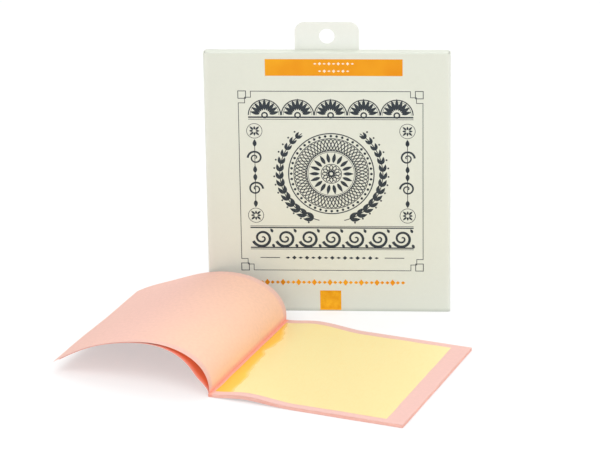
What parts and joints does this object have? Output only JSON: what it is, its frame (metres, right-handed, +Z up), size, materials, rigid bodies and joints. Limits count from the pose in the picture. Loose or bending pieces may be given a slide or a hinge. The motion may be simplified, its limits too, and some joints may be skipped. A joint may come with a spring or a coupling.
{
  "type": "gold leaf booklet",
  "caption": "Open booklet of square gold leaves between pink tissue pages, in front of its flat card sleeve with a hang tab.",
  "frame": {"origin": "middle of the foot of the whole set, on the table", "axes": "+X from the booklet's spine to its fore edge, +Y along the spine towards the sleeve, +Z up"},
  "size_m": [0.1656, 0.1291, 0.1385],
  "materials": {
    "tissue_paper": "matte thin tissue, salmon pink",
    "cover_paper": "matte uncoated, salmon pink",
    "gold_leaf": "beaten leaf, bright with fine wrinkles",
    "padding_glue": "dried padding glue, satin",
    "sleeve_card": "off-white card, matte"
  },
  "bodies": {
    "block": {"back_cover": "cover_paper", "spine_glue": "padding_glue", "page_02": "tissue_paper", "page_03": "tissue_paper", "page_04": "tissue_paper", "page_05": "tissue_paper", "page_06": "tissue_paper", "page_07": "tissue_paper", "page_08": "tissue_paper", "page_09": "tissue_paper", "page_10": "tissue_paper", "page_11": "tissue_paper", "page_12": "tissue_paper", "page_13": "tissue_paper", "page_14": "tissue_paper", "page_15": "tissue_paper", "page_16": "tissue_paper", "page_17": "tissue_paper", "page_18": "tissue_paper", "page_19": "tissue_paper", "page_20": "tissue_paper", "page_21": "tissue_paper", "page_22": "tissue_paper", "page_23": "tissue_paper", "page_24": "tissue_paper", "page_25": "tissue_paper", "gold_leaf_02": "gold_leaf", "gold_leaf_03": "gold_leaf", "gold_leaf_04": "gold_leaf", "gold_leaf_05": "gold_leaf", "gold_leaf_06": "gold_leaf", "gold_leaf_07": "gold_leaf", "gold_leaf_08": "gold_leaf", "gold_leaf_09": "gold_leaf", "gold_leaf_10": "gold_leaf", "gold_leaf_11": "gold_leaf", "gold_leaf_12": "gold_leaf", "gold_leaf_13": "gold_leaf", "gold_leaf_14": "gold_leaf", "gold_leaf_15": "gold_leaf", "gold_leaf_16": "gold_leaf", "gold_leaf_17": "gold_leaf", "gold_leaf_18": "gold_leaf", "gold_leaf_19": "gold_leaf", "gold_leaf_20": "gold_leaf", "gold_leaf_21": "gold_leaf", "gold_leaf_22": "gold_leaf", "gold_leaf_23": "gold_leaf", "gold_leaf_24": "gold_leaf", "gold_leaf_25": "gold_leaf"},
    "front_cover": {"front_cover": "cover_paper"},
    "turned_page": {"turned_page": "tissue_paper"},
    "first_page": {"page_01": "tissue_paper", "gold_leaf_01": "gold_leaf"},
    "sleeve": {"sleeve_front_panel": "sleeve_card", "sleeve_back_panel": "sleeve_card", "sleeve_side_walls": "sleeve_card", "sleeve_bottom_wall": "sleeve_card"},
    "top_flap": {"sleeve_top_flap": "sleeve_card"},
    "tuck_tongue": {"sleeve_tuck_tongue": "sleeve_card"}
  },
  "joints": [
    {"name": "cover_turn", "type": "hinge", "parent": "block", "child": "front_cover", "pos_m": [-0.00738, -0.02119, 0.00145], "axis": [0, -1, 0], "range_deg": [-172, 0], "deforming": ["front_cover"]},
    {"name": "turned_page_turn", "type": "hinge", "parent": "block", "child": "turned_page", "pos_m": [-0.00738, -0.02119, 0.00145], "axis": [0, -1, 0], "range_deg": [-172, 0], "deforming": ["turned_page"]},
    {"name": "page_turn", "type": "hinge", "parent": "block", "child": "first_page", "pos_m": [-0.00723, -0.02119, 0.0014], "axis": [0, -1, 0], "range_deg": [0, 120], "deforming": ["page_01", "gold_leaf_01"]},
    {"name": "sleeve_lift", "type": "slide", "parent": "block", "child": "sleeve", "axis": [0, 0, 1], "range_m": [0, 0.12]},
    {"name": "flap_open", "type": "hinge", "parent": "sleeve", "child": "top_flap", "pos_m": [0.00628, 0.04183, 0.125], "axis": [0.9426, 0.3338, 0], "range_deg": [0, 120]},
    {"name": "tongue_fold", "type": "hinge", "parent": "top_flap", "child": "tuck_tongue", "pos_m": [0.0051, 0.04518, 0.125], "axis": [0.9426, 0.3338, 0], "range_deg": [0, 90], "deforming": ["sleeve_tuck_tongue"]}
  ],
  "couplings": [
    {"joint": "turned_page_turn", "follows": "cover_turn", "ratio": 1},
    {"joint": "tongue_fold", "follows": "flap_open", "ratio": 0.75}
  ]
}
